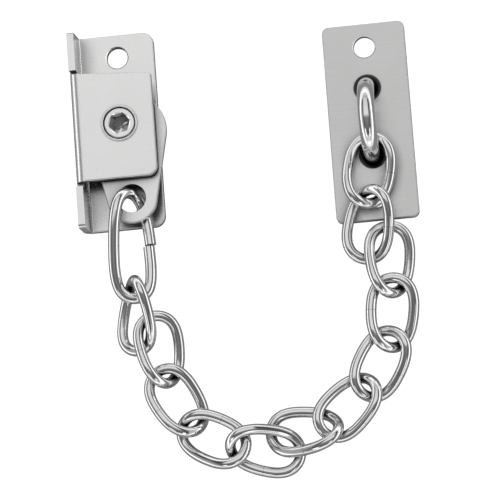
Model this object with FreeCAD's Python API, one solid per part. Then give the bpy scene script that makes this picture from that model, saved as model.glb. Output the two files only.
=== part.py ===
import FreeCAD, Part
import math
import os

# Door chain guard.  Millimetres, +Z up, lying on its back on z = 0.
# A folded bracket holds a turning hasp; a long link, twelve twisted links and a
# staple plate follow it.  The origin is on the axis of the bracket's upper screw
# hole, in the plane of the bracket's back face.  +Y points to the upper screw hole
# from the lower one, and +X points from the bracket to the staple plate.

V = FreeCAD.Vector
Z_AXIS = V(0, 0, 1)

# ---- driving dimensions ---------------------------------------------------------
SHEET = 2.2                 # thickness of both plates
PLATE_WIDTH = 25.4
PLATE_LENGTH = 61.5
SCREW_HOLE_R = 3.3
SCREW_HOLE_PITCH = 47.0     # upper to lower screw hole
CHAMFER = 0.3               # edge break on punched holes
EDGE_R = 0.35               # tumbled rounding on the plates' outlines

BRACKET_DEPTH = 12.5        # back face to the front of the flap
WALL_DEPTH = 12.0           # back face to the cut edge of the side wall
BEND_IN = 0.8               # inside radius of both folds
BEND_OUT = BEND_IN + SHEET
BASE_CORNER_R = 3.4
WALL_CORNER_R = 1.2
FLAP_BOTTOM = -40.0
FLAP_TOP_LEFT = -6.2        # the flap's top edge falls towards its free corner
FLAP_TOP_RIGHT = -8.0
FLAP_CORNER_R = 3.0
RELIEF = 1.3                # notch at each end of the flap's fold

PIVOT_X = 1.0               # axis of the lock screw
PIVOT_Y = -23.0
INSERT_SHANK_R = 4.0
INSERT_BODY_R = 5.5
INSERT_TOP = 6.5
THREAD_R = 3.0
FIT_GAP = 0.1               # running clearance round the screw
THREAD_END = 0.6            # height of the screw's tip
SHOULDER_R = 4.0
HEAD_R = 4.85
HEAD_BOTTOM = 9.8
HEAD_TOP = 12.7
HEX_FLATS = 6.0
HEX_DEPTH = 4.4
MOUTH_DEPTH = 0.35          # countersink at the mouth of the key socket
HEX_TURN = 12.0             # degrees, how far the key socket stands turned
COLLAR_R = 5.6
COLLAR_TOP = 13.0
WASHER_R = 7.0
WASHER_THICK = 0.4

HASP_BOTTOM = 7.1
HASP_THICK = 2.0
HASP_LOBE_R = 12.0
HASP_LOBE_X = 1.8           # the round end bulges away from the side wall
HASP_LOBE_Y = -2.0          # and towards the eye
HASP_EYE_X = 1.8            # eye, measured from the pivot
HASP_EYE_Y = -23.0
HASP_EYE_END_R = 7.7
HASP_EYE_R = 4.4
HASP_BUSH_R = 5.4

STAPLE_PLATE_X = 76.9
STAPLE_PLATE_Y = -28.0
STAPLE_PLATE_CORNER_R = 2.0
STAPLE_ROD_R = 2.6
STAPLE_SPAN = 21.0          # between the two legs
STAPLE_LEG_TOP = 3.9        # where the straight legs end and the bow begins
STAPLE_SINK_R = 4.3         # countersink round each leg
STAPLE_SINK_DEPTH = 1.2

WIRE_R = 1.65               # chain wire
LINK_HALF = 10.5            # half length of a link's centreline
LINK_END_R = 6.55           # radius of a link's round ends
LINK_TWIST = 44.0           # degrees between a link's two ends
LONG_WIRE_R = 1.75
LONG_HALF = 16.2
LONG_END_R = 6.0
LONG_TWIST = -40.0
LONG_LIE = (1.6, -60.5, -91, -33, 8.90, 6.95)

# How each link lies, from the bracket to the staple plate: centre x and y, heading in
# degrees, roll in degrees (left side up), and the height of its near and far end.
LINK_LIES = [
    (1.2, -82.0, -93, 46, 9.35, 4.00),
    (7.9, -93.0, -84, -35, 6.40, 6.25),
    (11.8, -109.0, -62, -15, 6.20, 4.20),
    (22.0, -121.4, -28, 4, 3.30, 6.25),
    (37.5, -126.1, -12, 21, 6.50, 1.85),
    (49.8, -121.3, 0, -23, 2.10, 6.55),
    (63.5, -115.2, 42, -8, 5.25, 3.70),
    (74.2, -103.0, 59, 5, 3.45, 4.80),
    (79.1, -88.0, 82, 16, 4.25, 6.10),
    (79.7, -71.7, 88, 28, 6.40, 3.80),
    (74.2, -60.5, 78, -14, 4.15, 7.85),
    (75.6, -43.9, 79, 10, 7.30, 4.95),
]
BUTT_GAP = 0.05             # closed butt joint in each chain link
LONG_BUTT_GAP = 0.35        # the long link's joint stays open
LONG_BUTT_STEP = 0.6        # and its two wire ends miss each other by this much
LEFT_BUTTS = (4, 9)         # links whose joint is in the left limb
CURVE_STEPS = 14            # pairs of tangent arcs round one link

# ---- sizes that follow ----------------------------------------------------------
PLATE_TOP = (PLATE_LENGTH - SCREW_HOLE_PITCH) / 2
PLATE_BOTTOM = PLATE_TOP - PLATE_LENGTH
BASE_RIGHT = (PLATE_WIDTH - SHEET) / 2
WALL_INNER = -BASE_RIGHT
WALL_OUTER = WALL_INNER - SHEET
FLAP_BACK = BRACKET_DEPTH - SHEET
HASP_TOP = HASP_BOTTOM + HASP_THICK
PIVOT = V(PIVOT_X, PIVOT_Y, 0)
EYE = PIVOT + V(HASP_EYE_X, HASP_EYE_Y, 0)


def at(point, z):
    return V(point.x, point.y, z)


def rod(centre, radius, z0, z1):
    return Part.makeCylinder(radius, z1 - z0, at(centre, z0))


def ring(centre, outer, inner, z0, z1):
    return rod(centre, outer, z0, z1).cut(rod(centre, inner, z0, z1))


def box(x0, x1, y0, y1, z0, z1):
    return Part.makeBox(x1 - x0, y1 - y0, z1 - z0, V(x0, y0, z0))


def prism(points, z0, z1):
    """A straight-sided slab from plan points."""
    outline = [V(x, y, z0) for x, y in points]
    face = Part.Face(Part.makePolygon(outline + outline[:1]))
    return face.extrude(V(0, 0, z1 - z0))


def upright_edges(shape, corners):
    """The edges along Z that stand at the given plan corners."""
    found = []
    for edge in shape.Edges:
        first = edge.Vertexes[0].Point
        last = edge.Vertexes[-1].Point
        upright = abs(first.x - last.x) + abs(first.y - last.y) < 1e-6
        if upright and any(math.hypot(first.x - x, first.y - y) < 1e-3 for x, y in corners):
            found.append(edge)
    return found


def level_edges(shape, z, keep):
    """The edges that lie flat at height z and whose middle the test keeps."""
    found = []
    for edge in shape.Edges:
        span = edge.BoundBox
        if abs(span.ZMin - z) < 1e-6 and abs(span.ZMax - z) < 1e-6 and keep(span.Center):
            found.append(edge)
    return found


def screw_hole(centre):
    """A screw hole through a plate, with its mouth lightly broken."""
    hole = rod(centre, SCREW_HOLE_R, -1, SHEET + 1)
    mouth = Part.makeCone(SCREW_HOLE_R, SCREW_HOLE_R + 2 * CHAMFER, 2 * CHAMFER, at(centre, SHEET - CHAMFER))
    return hole.fuse(mouth)


# ---- bracket --------------------------------------------------------------------
def bent_corner(x, z, outward_x, outward_z, y0, y1):
    """A quarter bend whose centre is at x, z and which bulges outward."""
    centre = V(x, y0, z)
    bend = Part.makeCylinder(BEND_OUT, y1 - y0, centre, V(0, 1, 0))
    bend = bend.cut(Part.makeCylinder(BEND_IN, y1 - y0, centre, V(0, 1, 0)))
    x0, x1 = sorted((x, x + outward_x * BEND_OUT))
    z0, z1 = sorted((z, z + outward_z * BEND_OUT))
    return bend.common(box(x0, x1, y0, y1, z0, z1))


def make_bracket():
    inner_x = WALL_INNER + BEND_IN
    base = box(inner_x, BASE_RIGHT, PLATE_BOTTOM, PLATE_TOP, 0, SHEET)
    base = base.makeFillet(BASE_CORNER_R, upright_edges(
        base, [(BASE_RIGHT, PLATE_TOP), (BASE_RIGHT, PLATE_BOTTOM)]))
    base = base.makeFillet(EDGE_R, level_edges(base, SHEET, lambda middle: middle.x > inner_x + 0.01))
    lower_bend = bent_corner(inner_x, BEND_OUT, -1, -1, PLATE_BOTTOM, PLATE_TOP)

    wall = box(WALL_OUTER, WALL_INNER, PLATE_BOTTOM, PLATE_TOP, BEND_OUT, WALL_DEPTH)
    for y in (PLATE_BOTTOM, PLATE_TOP):
        inward = 1 if y < FLAP_BOTTOM else -1
        y0, y1 = sorted((y, y + inward * WALL_CORNER_R))
        corner = box(WALL_OUTER, WALL_INNER, y0, y1, WALL_DEPTH - WALL_CORNER_R, WALL_DEPTH)
        round_end = Part.makeCylinder(
            WALL_CORNER_R, SHEET,
            V(WALL_OUTER, y + inward * WALL_CORNER_R, WALL_DEPTH - WALL_CORNER_R), V(1, 0, 0))
        wall = wall.cut(corner.cut(round_end))
    wall = wall.cut(box(WALL_OUTER - 1, WALL_INNER + 1, FLAP_BOTTOM - RELIEF, FLAP_TOP_LEFT + RELIEF,
                        BRACKET_DEPTH - BEND_OUT, BRACKET_DEPTH))

    upper_bend = bent_corner(inner_x, BRACKET_DEPTH - BEND_OUT, -1, 1, FLAP_BOTTOM, FLAP_TOP_LEFT)
    flap = prism([(inner_x, FLAP_BOTTOM), (BASE_RIGHT, FLAP_BOTTOM),
                  (BASE_RIGHT, FLAP_TOP_RIGHT), (inner_x, FLAP_TOP_LEFT)], FLAP_BACK, BRACKET_DEPTH)
    flap = flap.makeFillet(FLAP_CORNER_R, upright_edges(flap, [(BASE_RIGHT, FLAP_BOTTOM)]))
    flap = flap.makeFillet(FLAP_CORNER_R / 4, upright_edges(flap, [(BASE_RIGHT, FLAP_TOP_RIGHT)]))
    flap = flap.makeFillet(EDGE_R, level_edges(flap, BRACKET_DEPTH, lambda middle: middle.x > inner_x + 0.01))

    bracket = base.fuse([lower_bend, wall, upper_bend, flap]).removeSplitter()
    for y in (0, -SCREW_HOLE_PITCH):
        bracket = bracket.cut(screw_hole(V(0, y, 0)))
    bracket = bracket.cut(rod(PIVOT, INSERT_SHANK_R, -1, SHEET + 1))
    return bracket.cut(rod(PIVOT, COLLAR_R, FLAP_BACK - 1, BRACKET_DEPTH + 1))


# ---- lock screw and what it holds -----------------------------------------------
def make_insert_nut():
    body = rod(PIVOT, INSERT_BODY_R, SHEET, INSERT_TOP).fuse(rod(PIVOT, INSERT_SHANK_R, 0, SHEET))
    return body.cut(rod(PIVOT, THREAD_R + FIT_GAP, -1, INSERT_TOP + 1)).removeSplitter()


def make_collar_ring():
    """The turned ring in the flap that the screw head sits in."""
    wall = ring(PIVOT, COLLAR_R, HEAD_R + 0.15, FLAP_BACK, COLLAR_TOP)
    rims = [edge for edge in wall.Edges if abs(edge.BoundBox.ZMin - COLLAR_TOP) < 1e-6]
    return wall.makeFillet(0.25, rims)


def hexagon(flats, turn):
    radius = flats / 2 / math.cos(math.pi / 6)
    return [(PIVOT_X + radius * math.cos(math.radians(turn + 60 * i)),
             PIVOT_Y + radius * math.sin(math.radians(turn + 60 * i))) for i in range(6)]


def make_lock_screw():
    head = Part.makeCylinder(HEAD_R, HEAD_TOP - HEAD_BOTTOM, at(PIVOT, HEAD_BOTTOM))
    rim = [edge for edge in head.Edges if abs(edge.BoundBox.ZMin - HEAD_TOP) < 1e-6]
    head = head.makeFillet(0.5, rim)
    shoulder = rod(PIVOT, SHOULDER_R, INSERT_TOP + FIT_GAP, HEAD_BOTTOM)
    thread = rod(PIVOT, THREAD_R, THREAD_END, INSERT_TOP + FIT_GAP)
    tip = [edge for edge in thread.Edges if abs(edge.BoundBox.ZMax - THREAD_END) < 1e-6]
    thread = thread.makeChamfer(0.5, tip)
    socket_floor = HEAD_TOP - HEX_DEPTH
    socket = prism(hexagon(HEX_FLATS, HEX_TURN), socket_floor, HEAD_TOP + 1)
    drill_point = Part.makeCone(0, HEX_FLATS / 2 - 0.1, 1.2, at(PIVOT, socket_floor - 1.2))
    mouth = Part.makeCone(HEX_FLATS / 2 - 0.1, HEX_FLATS / 2 + 0.9, 2 * MOUTH_DEPTH,
                          at(PIVOT, HEAD_TOP - MOUTH_DEPTH))
    screw = head.fuse([shoulder, thread]).removeSplitter()
    return screw.cut(socket.fuse(drill_point)).cut(mouth)


def make_hasp():
    """A lobe round the pivot drawn out to an eye, from two discs and their tangents."""
    lobe = PIVOT + V(HASP_LOBE_X, HASP_LOBE_Y, 0)
    span = EYE - lobe
    direction = math.atan2(span.y, span.x)
    lean = math.acos((HASP_LOBE_R - HASP_EYE_END_R) / span.Length)
    sides = []
    for centre, radius, sign in ((lobe, HASP_LOBE_R, 1), (EYE, HASP_EYE_END_R, 1),
                                 (EYE, HASP_EYE_END_R, -1), (lobe, HASP_LOBE_R, -1)):
        angle = direction + sign * lean
        sides.append((centre.x + radius * math.cos(angle), centre.y + radius * math.sin(angle)))
    web = prism(sides, HASP_BOTTOM, HASP_TOP)
    plate = web.fuse([rod(lobe, HASP_LOBE_R, HASP_BOTTOM, HASP_TOP),
                      rod(EYE, HASP_EYE_END_R, HASP_BOTTOM, HASP_TOP)]).removeSplitter()
    plate = plate.makeFillet(EDGE_R, level_edges(plate, HASP_TOP, lambda middle: True))
    return plate.cut(rod(PIVOT, HASP_BUSH_R, 0, 20)).cut(rod(EYE, HASP_EYE_R, 0, 20))


# ---- wire links -----------------------------------------------------------------
def link_frame(lie):
    """Centre, travel direction and left direction of a link that lies as given."""
    x, y, heading = lie[:3]
    turn = math.radians(heading)
    return V(x, y, 0), V(math.cos(turn), math.sin(turn), 0), V(-math.sin(turn), math.cos(turn), 0)


def link_point(lie, half, end_r, twist, angle):
    """A point of a twisted link's centreline; the angle runs round the oval."""
    centre, ahead, left = link_frame(lie)
    roll, near_height, far_height = lie[3:]
    straight = (half - end_r) * math.tanh(2.2 * math.cos(angle)) / math.tanh(2.2)
    along = straight + end_r * math.cos(angle)
    across = end_r * math.sin(angle)
    share = (along + half) / (2 * half)
    tilt = math.radians(roll + twist * (0.5 - share))
    height = near_height + (far_height - near_height) * share
    flat = centre + ahead * along + left * (across * math.cos(tilt))
    return V(flat.x, flat.y, height + across * math.sin(tilt))


def arc_between(start, corner, end):
    """The arc from start to end whose two end tangents meet at corner."""
    middle = (start + end) * 0.5
    lean = (end - start).normalize().dot((corner - start).normalize())
    return Part.Arc(start, middle + (corner - middle) * (lean / (1 + lean)), end).toShape()


def joined_arcs(start, start_way, end, end_way):
    """Two tangent arcs that leave start along one direction and reach end along another."""
    span = end - start
    both = start_way + end_way
    opening = 2 * (1 - start_way.dot(end_way))
    reach = span.dot(both)
    if opening < 1e-9:
        length = span.dot(span) / (2 * reach)
    else:
        length = (math.sqrt(reach * reach + opening * span.dot(span)) - reach) / opening
    first_corner = start + start_way * length
    second_corner = end - end_way * length
    middle = (first_corner + second_corner) * 0.5
    return [arc_between(start, first_corner, middle), arc_between(middle, second_corner, end)]


def wire_link(lie, half, end_r, twist, wire_r, gap, side, step=0.0):
    """A bent wire whose two ends meet half way along one limb, the left one if side is 1."""
    joint = side * math.pi / 2
    half_gap = gap / 2 / half
    first = joint + half_gap
    last = joint + 2 * math.pi - half_gap
    left = link_frame(lie)[2]

    def wire_point(angle):
        return link_point(lie, half, end_r, twist, angle) + left * (step * shift_share(angle - joint))

    def wire_way(angle):
        nudge = 1e-4
        return (wire_point(angle + nudge) - wire_point(angle - nudge)).normalize()

    angles = [first + (last - first) * i / CURVE_STEPS for i in range(CURVE_STEPS + 1)]
    edges = []
    for here, there in zip(angles, angles[1:]):
        edges += joined_arcs(wire_point(here), wire_way(here), wire_point(there), wire_way(there))
    section = Part.Wire(Part.Edge(Part.Circle(wire_point(first), wire_way(first), wire_r)))
    return Part.Wire(edges).makePipe(Part.Face(section))


def shift_share(turn):
    """How much of the sideways step a wire has, close to each of its two ends."""
    reach = math.radians(40)
    near = max(0.0, 1 - turn / reach)
    far = max(0.0, 1 - (2 * math.pi - turn) / reach)
    return (near * near * (3 - 2 * near) - far * far * (3 - 2 * far)) / 2


# ---- staple plate ---------------------------------------------------------------
def make_staple_plate():
    x0 = STAPLE_PLATE_X - PLATE_WIDTH / 2
    x1 = STAPLE_PLATE_X + PLATE_WIDTH / 2
    y0 = STAPLE_PLATE_Y - PLATE_LENGTH / 2
    y1 = STAPLE_PLATE_Y + PLATE_LENGTH / 2
    plate = box(x0, x1, y0, y1, 0, SHEET)
    plate = plate.makeFillet(STAPLE_PLATE_CORNER_R, upright_edges(
        plate, [(x0, y0), (x0, y1), (x1, y0), (x1, y1)]))
    plate = plate.makeFillet(EDGE_R, level_edges(plate, SHEET, lambda middle: True))
    for side in (-1, 1):
        plate = plate.cut(screw_hole(V(STAPLE_PLATE_X, STAPLE_PLATE_Y + side * SCREW_HOLE_PITCH / 2, 0)))
        leg = V(STAPLE_PLATE_X, STAPLE_PLATE_Y + side * STAPLE_SPAN / 2, 0)
        plate = plate.cut(rod(leg, STAPLE_ROD_R, -1, SHEET + 1))
        sink = Part.makeCone(STAPLE_ROD_R, STAPLE_SINK_R, STAPLE_SINK_DEPTH, at(leg, SHEET - STAPLE_SINK_DEPTH))
        plate = plate.cut(sink)
    return plate


def make_staple():
    bow_r = STAPLE_SPAN / 2
    centre = V(STAPLE_PLATE_X, STAPLE_PLATE_Y, STAPLE_LEG_TOP)
    legs = [rod(centre + V(0, side * bow_r, 0), STAPLE_ROD_R, 0, STAPLE_LEG_TOP) for side in (-1, 1)]
    section = Part.Face(Part.Wire(Part.Edge(Part.Circle(centre + V(0, bow_r, 0), Z_AXIS, STAPLE_ROD_R))))
    bow = section.revolve(centre, V(1, 0, 0), 180)
    return bow.fuse(legs).removeSplitter()


def solid_of(shape):
    """The single solid of a shape, whichever way it was made."""
    solids = shape.Solids
    solid = solids[0] if solids else Part.Solid(Part.Shell(shape.Faces))
    if solid.Volume < 0:
        solid.reverse()
    return solid


def main():
    parts = {
        "bracket": make_bracket(),
        "insert_nut": make_insert_nut(),
        "collar_ring": make_collar_ring(),
        "lock_screw": make_lock_screw(),
        "back_washer": ring(PIVOT, WASHER_R, SHOULDER_R + FIT_GAP, INSERT_TOP, INSERT_TOP + WASHER_THICK),
        "front_washer": ring(PIVOT, WASHER_R, SHOULDER_R, HEAD_BOTTOM - WASHER_THICK, HEAD_BOTTOM),
        "hasp": make_hasp(),
        "hasp_bush": ring(PIVOT, HASP_BUSH_R, SHOULDER_R + FIT_GAP, HASP_BOTTOM - FIT_GAP, HASP_TOP + FIT_GAP),
        "long_link": wire_link(LONG_LIE, LONG_HALF, LONG_END_R, LONG_TWIST, LONG_WIRE_R,
                               LONG_BUTT_GAP, 1, LONG_BUTT_STEP),
        "staple_plate": make_staple_plate(),
        "staple": make_staple(),
    }
    for number, lie in enumerate(LINK_LIES, start=1):
        side = 1 if number in LEFT_BUTTS else -1
        parts[f"chain_link_{number:02d}"] = wire_link(
            lie, LINK_HALF, LINK_END_R, LINK_TWIST, WIRE_R, BUTT_GAP, side)
    os.makedirs("parts", exist_ok=True)
    for name, shape in parts.items():
        solid = solid_of(shape)
        print(name, len(shape.Solids), "valid", solid.isValid(), "volume", round(solid.Volume, 1))
        solid.exportStep(f"parts/{name}.step")


main()
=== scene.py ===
import math

import bpy
from mathutils import Matrix, Vector


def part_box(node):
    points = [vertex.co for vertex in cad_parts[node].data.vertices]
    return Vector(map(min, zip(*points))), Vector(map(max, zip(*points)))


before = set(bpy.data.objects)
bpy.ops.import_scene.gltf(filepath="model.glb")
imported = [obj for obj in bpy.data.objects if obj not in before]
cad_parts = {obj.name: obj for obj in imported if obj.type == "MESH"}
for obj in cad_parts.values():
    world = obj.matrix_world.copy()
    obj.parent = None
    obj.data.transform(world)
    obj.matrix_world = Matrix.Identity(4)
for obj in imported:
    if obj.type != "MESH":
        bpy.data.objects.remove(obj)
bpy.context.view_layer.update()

MM = 0.001
LINK_COUNT = 12
WIRES = ["long_link"] + [f"chain_link_{number:02d}" for number in range(1, LINK_COUNT + 1)]


# ---- small helpers for node materials ------------------------------------------------
class Nodes:
    """A node tree with short calls to add nodes and join their sockets."""

    def __init__(self, tree, empty=True):
        self.tree = tree
        if empty:
            self.tree.nodes.clear()

    def add(self, kind, settings=None, **inputs):
        node = self.tree.nodes.new(kind)
        for name, value in (settings or {}).items():
            setattr(node, name, value)
        for name, value in inputs.items():
            self.feed(node, name.replace("_", " "), value)
        return node

    def feed(self, node, name, value):
        """Sets or joins an input, which is named by its label or, as i0, i1, ..., by its place."""
        by_place = name[0] == "i" and name[1:].isdigit()
        socket = node.inputs[int(name[1:])] if by_place else node.inputs[name]
        if isinstance(value, bpy.types.NodeSocket):
            self.tree.links.new(value, socket)
        else:
            socket.default_value = value

    def math(self, operation, first, second=0.0, third=0.0):
        node = self.add("ShaderNodeMath", {"operation": operation}, i0=first, i1=second, i2=third)
        return node.outputs[0]

    def ramp(self, value, stops, interpolation="LINEAR"):
        node = self.add("ShaderNodeValToRGB", None, Fac=value)
        node.color_ramp.interpolation = interpolation
        elements = node.color_ramp.elements
        while len(elements) > 1:
            elements.remove(elements[-1])
        for index, (position, level) in enumerate(stops):
            element = elements[0] if index == 0 else elements.new(position)
            element.position = position
            colour = level if isinstance(level, tuple) else (level, level, level)
            element.color = (*colour, 1.0)
        return node.outputs["Color"]

    def stretched_noise(self, scale, stretch, detail=2.0, roughness=0.5):
        place = self.add("ShaderNodeTexCoord").outputs["Object"]
        mapped = self.add("ShaderNodeMapping", None, Vector=place, Scale=stretch)
        noise = self.add("ShaderNodeTexNoise", None, Vector=mapped.outputs["Vector"],
                         Scale=scale, Detail=detail, Roughness=roughness)
        return noise.outputs["Fac"]

    def times(self, first, second):
        return self.add("ShaderNodeVectorMath", {"operation": "MULTIPLY"}, i0=first, i1=second).outputs[0]

    def painted_corner_shade(self, reach, darkest):
        """Painted shade: a colour factor of one in the open, falling towards darkest in corners, gaps and
        deep holes.
        """
        openness = self.add("ShaderNodeAmbientOcclusion", {"samples": 12}, Distance=reach).outputs["AO"]
        return self.ramp(openness, [(0.22, darkest), (0.90, 1.0)])


def new_material(name):
    material = bpy.data.materials.new(name)
    material.use_nodes = True
    return material, Nodes(material.node_tree)


def finish_material(nodes, shader):
    nodes.add("ShaderNodeOutputMaterial", None, Surface=shader.outputs[0])


def brushed_sheet(name, tone, grain, roughness, relief=0.05, reach=4.0):
    """Plated sheet with fine brushing; grain stretches it along x, y, z, reach (mm) is for painted_corner_shade."""
    material, nodes = new_material(name)
    fine = nodes.stretched_noise(2400.0, grain, 3.0, 0.6)
    broad = nodes.stretched_noise(60.0, (1.0, 1.0, 1.0), 2.0, 0.5)
    colour = nodes.ramp(fine, [(0.3, tuple(0.95 * c for c in tone)), (0.7, tone)])
    rough = nodes.math("MULTIPLY_ADD", broad, 0.08, roughness - 0.07)
    rough = nodes.math("MULTIPLY_ADD", fine, 0.06, rough)
    bump = nodes.add("ShaderNodeBump", None, Strength=relief, Distance=0.00004, Height=fine)
    # painted shade: the sheet's colour darkens in corners, gaps and under overhangs
    colour = nodes.times(colour, nodes.painted_corner_shade(reach * MM, 0.04))
    shader = nodes.add("ShaderNodeBsdfPrincipled", None, Base_Color=colour, Metallic=1.0,
                       Roughness=rough, Normal=bump.outputs["Normal"])
    finish_material(nodes, shader)
    return material


def add_painted_countersink_shade(material, spots, reach, darkness):
    """Painted shade: darkens a sheet close round upright axes, in the countersinks round the staple legs."""
    nodes = Nodes(material.node_tree, empty=False)
    shader = next(node for node in nodes.tree.nodes if node.type == "BSDF_PRINCIPLED")
    unshaded = shader.inputs["Base Color"].links[0].from_socket
    coordinates = nodes.add("ShaderNodeTexCoord").outputs["Object"]
    place = nodes.add("ShaderNodeSeparateXYZ", None, Vector=coordinates)
    mask = None
    for x, y in spots:
        aside = nodes.math("SUBTRACT", place.outputs["X"], x)
        along = nodes.math("SUBTRACT", place.outputs["Y"], y)
        offset = nodes.add("ShaderNodeCombineXYZ", None, X=aside, Y=along)
        measure = nodes.add("ShaderNodeVectorMath", {"operation": "LENGTH"}, i0=offset.outputs[0])
        length = measure.outputs["Value"]
        near = nodes.add("ShaderNodeMapRange", {"interpolation_type": "SMOOTHSTEP"}, i0=length,
                         i1=reach * 0.96, i2=reach * 1.03, i3=1.0, i4=0.0).outputs[0]
        mask = near if mask is None else nodes.math("MAXIMUM", mask, near)
    # multiplies the painted countersink shade into the sheet's colour
    mix = nodes.add("ShaderNodeMix", {"data_type": "RGBA", "blend_type": "MULTIPLY"},
                    i0=nodes.math("MULTIPLY", mask, darkness))
    nodes.tree.links.new(unshaded, mix.inputs[6])
    mix.inputs[7].default_value = (COUNTERSINK_SHADE_TONE, COUNTERSINK_SHADE_TONE, COUNTERSINK_SHADE_TONE, 1.0)
    nodes.tree.links.new(mix.outputs[2], shader.inputs["Base Color"])


def polished(name, tone, roughness, waviness=0.10, reach=2.0, darkest=0.05):
    """Bright plating with faint waviness and fine handling scratches; reach (mm) is for painted_corner_shade."""
    material, nodes = new_material(name)
    soft = nodes.stretched_noise(220.0, (1.0, 1.0, 1.0), 2.0, 0.5)
    scratch = nodes.stretched_noise(2600.0, (1.0, 0.12, 1.0), 2.0, 0.7)
    rough = nodes.math("ADD", nodes.math("MULTIPLY", scratch, 0.06), roughness - 0.02)
    bump = nodes.add("ShaderNodeBump", None, Strength=waviness, Distance=0.00006, Height=soft)
    colour = nodes.ramp(soft, [(0.25, tuple(0.95 * c for c in tone)), (0.75, tone)])
    # painted shade: the plating's colour darkens in corners, gaps and where parts overlap
    colour = nodes.times(colour, nodes.painted_corner_shade(reach * MM, darkest))
    shader = nodes.add("ShaderNodeBsdfPrincipled", None, Base_Color=colour, Metallic=1.0,
                       Roughness=rough, Normal=bump.outputs["Normal"])
    finish_material(nodes, shader)
    return material


# Light panels: limits along x and then y as tangents from straight overhead, softness, strength.
PANELS = [
    (-0.70, 0.60, 0.02, 1.40, 0.10, 0.60),      # softbox overhead, towards the plates' upper ends
    (-1.60, 1.60, 1.50, 6.00, 0.30, 0.60),      # broad light low beyond the upper ends
    (-1.00, -0.55, -1.60, -0.70, 0.12, 1.20),   # bright strip, lower left
    (0.45, 0.85, -1.60, -0.70, 0.12, 1.20),     # bright strip, lower right
    (-6.00, -1.15, -2.50, 2.50, 0.30, 0.36),    # fill from the left
    (1.25, 6.00, -2.50, 2.50, 0.30, 0.50),      # fill from the right
    (-1.00, 1.00, -6.00, -1.30, 0.30, 0.65),    # fill from beyond the lower ends
]
DIM_LOW, DIM_MID, DIM_HIGH = 0.03, 0.015, 0.22      # the studio between the panels, from level to overhead
WALL_SIDE, WALL_END = 1.30, 0.80                    # the low wall at left and right, and at the two ends
FLOOR_GLOW = 0.92           # what the lit floor adds where it is looked at directly
FLOOR_SPILL = 0.05          # and what it adds to reflections

BRACKET_TONE = (0.99, 0.99, 0.985)
HASP_TONE = (0.95, 0.95, 0.945)
PLATE_TONE = (0.78, 0.78, 0.775)
STEEL_TONE = (0.83, 0.83, 0.825)
CHROME_TONE = (0.90, 0.90, 0.90)
# colour of the painted shade in the countersinks round the staple legs
COUNTERSINK_SHADE_TONE = 0.12
COUNTERSINK_R = 4.3 * MM
SMOOTH_ANGLE = math.radians(30)

CAMERA_TARGET = Vector((36.8, -63.9, 0.0)) * MM
CAMERA_DISTANCE = 0.9
CAMERA_RIGHT, CAMERA_BELOW, CAMERA_ROLL = math.radians(6.74), math.radians(10.0), math.radians(-4.24)
SENSOR_MM, LENS_MM = 36.0, 211.536

MATERIALS = {
    "bracket": brushed_sheet("bracket_sheet", BRACKET_TONE, (0.10, 1.0, 1.0), 0.28, reach=8.0),
    "hasp": brushed_sheet("hasp_sheet", HASP_TONE, (1.0, 0.06, 1.0), 0.24, reach=9.0),
    "staple_plate": brushed_sheet("staple_plate_sheet", PLATE_TONE, (0.04, 1.0, 1.0), 0.33, relief=0.08),
    "turned": polished("turned_steel", STEEL_TONE, 0.22),
    "screw": polished("plated_screw", CHROME_TONE, 0.10, reach=3.6, darkest=0.05),
    "staple": polished("plated_rod", CHROME_TONE, 0.10),
    "wire": polished("plated_wire", CHROME_TONE, 0.075, 0.30),
}
staple_low, staple_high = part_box("staple")
STAPLE_X = (staple_low[0] + staple_high[0]) / 2
ROD_R = (staple_high[0] - staple_low[0]) / 2
LEGS = [(STAPLE_X, staple_low[1] + ROD_R), (STAPLE_X, staple_high[1] - ROD_R)]
# painted shade in the countersinks round the staple legs
add_painted_countersink_shade(MATERIALS["staple_plate"], LEGS, COUNTERSINK_R, 0.8)

NODE_MATERIAL = {"insert_nut": "turned", "back_washer": "turned", "front_washer": "turned",
                 "hasp_bush": "turned", "collar_ring": "screw", "lock_screw": "screw"}
for wire in WIRES:
    NODE_MATERIAL[wire] = "wire"


def smooth_group():
    """Smooth shading except across edges sharper than a set angle, as a modifier."""
    group = bpy.data.node_groups.new("smooth_by_angle", "GeometryNodeTree")
    group.interface.new_socket("Geometry", in_out="INPUT", socket_type="NodeSocketGeometry")
    group.interface.new_socket("Geometry", in_out="OUTPUT", socket_type="NodeSocketGeometry")
    source = group.nodes.new("NodeGroupInput")
    drain = group.nodes.new("NodeGroupOutput")
    angle = group.nodes.new("GeometryNodeInputMeshEdgeAngle")
    compare = group.nodes.new("FunctionNodeCompare")
    compare.data_type = "FLOAT"
    compare.operation = "LESS_EQUAL"
    compare.inputs[1].default_value = SMOOTH_ANGLE
    faces = group.nodes.new("GeometryNodeSetShadeSmooth")
    faces.domain = "FACE"
    edges = group.nodes.new("GeometryNodeSetShadeSmooth")
    edges.domain = "EDGE"
    group.links.new(angle.outputs["Unsigned Angle"], compare.inputs[0])
    group.links.new(source.outputs[0], faces.inputs["Geometry"])
    group.links.new(faces.outputs[0], edges.inputs["Geometry"])
    group.links.new(compare.outputs[0], edges.inputs["Shade Smooth"])
    group.links.new(edges.outputs[0], drain.inputs[0])
    return group


SMOOTH = smooth_group()
for name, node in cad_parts.items():
    material = MATERIALS[NODE_MATERIAL.get(name, name)]
    for slot in node.material_slots:
        slot.link = "OBJECT"
        slot.material = material
    node.modifiers.new("smooth", "NODES").node_group = SMOOTH


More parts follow.
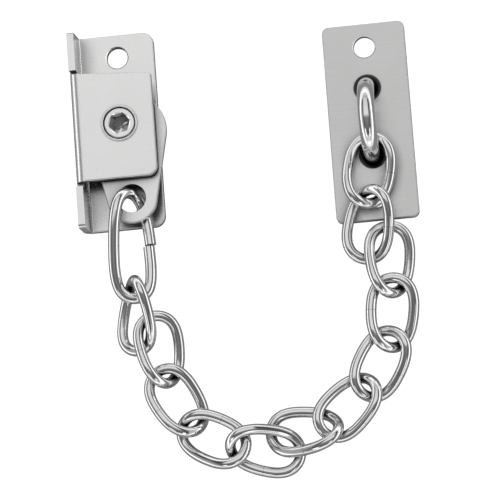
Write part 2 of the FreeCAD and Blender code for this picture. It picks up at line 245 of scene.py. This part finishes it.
# ---- floor, light and camera ---------------------------------------------------------
def make_floor():
    """A card that is white where it is looked at and dim in the metal's reflections."""
    mesh = bpy.data.meshes.new("floor")
    reach = 3.0
    mesh.from_pydata([(-reach, -reach, 0), (reach, -reach, 0), (reach, reach, 0), (-reach, reach, 0)],
                     [], [(0, 1, 2, 3)])
    floor = bpy.data.objects.new("floor", mesh)
    floor.location = (0, 0, -0.0002)
    bpy.context.scene.collection.objects.link(floor)
    material, nodes = new_material("floor_card")
    direct = nodes.add("ShaderNodeLightPath").outputs["Is Camera Ray"]
    glow = nodes.math("MULTIPLY_ADD", direct, FLOOR_GLOW, FLOOR_SPILL)
    shader = nodes.add("ShaderNodeBsdfPrincipled", None, Base_Color=(0.35, 0.35, 0.35, 1.0), Roughness=0.8,
                       Emission_Color=(1.0, 1.0, 1.0, 1.0), Emission_Strength=glow)
    finish_material(nodes, shader)
    mesh.materials.append(material)


def make_sky():
    """A dim studio with the light panels above and a bright low wall all round."""
    world = bpy.data.worlds.new("studio")
    bpy.context.scene.world = world
    world.use_nodes = True
    nodes = Nodes(world.node_tree)
    ray = nodes.add("ShaderNodeTexCoord").outputs["Generated"]
    axes = nodes.add("ShaderNodeSeparateXYZ", None, Vector=ray)
    height = nodes.math("MAXIMUM", axes.outputs["Z"], 0.02)
    across = nodes.math("DIVIDE", axes.outputs["X"], height)
    upward = nodes.math("DIVIDE", axes.outputs["Y"], height)

    def between(value, low, high, soft):
        rise = nodes.add("ShaderNodeMapRange", {"interpolation_type": "SMOOTHSTEP"}, i0=value,
                         i1=low - soft, i2=low + soft)
        fall = nodes.add("ShaderNodeMapRange", {"interpolation_type": "SMOOTHSTEP"}, i0=value,
                         i1=high - soft, i2=high + soft, i3=1.0, i4=0.0)
        return nodes.math("MULTIPLY", rise.outputs[0], fall.outputs[0])

    overhead = nodes.ramp(axes.outputs["Z"], [(0.0, DIM_LOW), (0.6, DIM_MID), (1.0, DIM_HIGH)])
    # the low wall is brightest at the left and right
    wall = nodes.ramp(axes.outputs["Z"], [(0.0, 1.0), (0.26, 1.0), (0.38, 0.0)], "EASE")
    sideways = nodes.math("MULTIPLY", axes.outputs["X"], axes.outputs["X"])
    lengthways = nodes.math("MULTIPLY", axes.outputs["Y"], axes.outputs["Y"])
    share = nodes.math("DIVIDE", sideways, nodes.math("ADD", nodes.math("ADD", sideways, lengthways), 0.001))
    wall_level = nodes.math("MULTIPLY_ADD", share, WALL_SIDE - WALL_END, WALL_END)
    level = nodes.math("MULTIPLY_ADD", wall, wall_level, overhead)
    for low_x, high_x, low_y, high_y, soft, strength in PANELS:
        in_x = between(across, low_x, high_x, soft)
        in_y = between(upward, low_y, high_y, soft)
        panel = nodes.math("MULTIPLY", in_x, in_y)
        level = nodes.math("MULTIPLY_ADD", panel, strength, level)
    background = nodes.add("ShaderNodeBackground", None, Color=level, Strength=1.0)
    nodes.add("ShaderNodeOutputWorld", None, Surface=background.outputs[0])


def make_camera():
    """Stands nearly square in front of the plates, a little below and to the right of them."""
    back = Vector((math.tan(CAMERA_RIGHT), -math.tan(CAMERA_BELOW), 1.0)).normalized()
    right = Vector((0.0, 1.0, 0.0)).cross(back).normalized()
    up = back.cross(right)
    tilted_right = right * math.cos(CAMERA_ROLL) + up * math.sin(CAMERA_ROLL)
    tilted_up = up * math.cos(CAMERA_ROLL) - right * math.sin(CAMERA_ROLL)
    data = bpy.data.cameras.new("camera")
    data.sensor_width = SENSOR_MM
    data.lens = LENS_MM
    data.clip_start = 0.05
    data.clip_end = 20.0
    camera = bpy.data.objects.new("camera", data)
    spot = CAMERA_TARGET + back * CAMERA_DISTANCE
    turn = Matrix((tilted_right, tilted_up, back)).transposed().to_4x4()
    camera.matrix_world = Matrix.Translation(spot) @ turn
    bpy.context.scene.collection.objects.link(camera)
    bpy.context.scene.camera = camera


make_floor()
make_sky()
make_camera()
bpy.context.scene.view_settings.view_transform = "Standard"
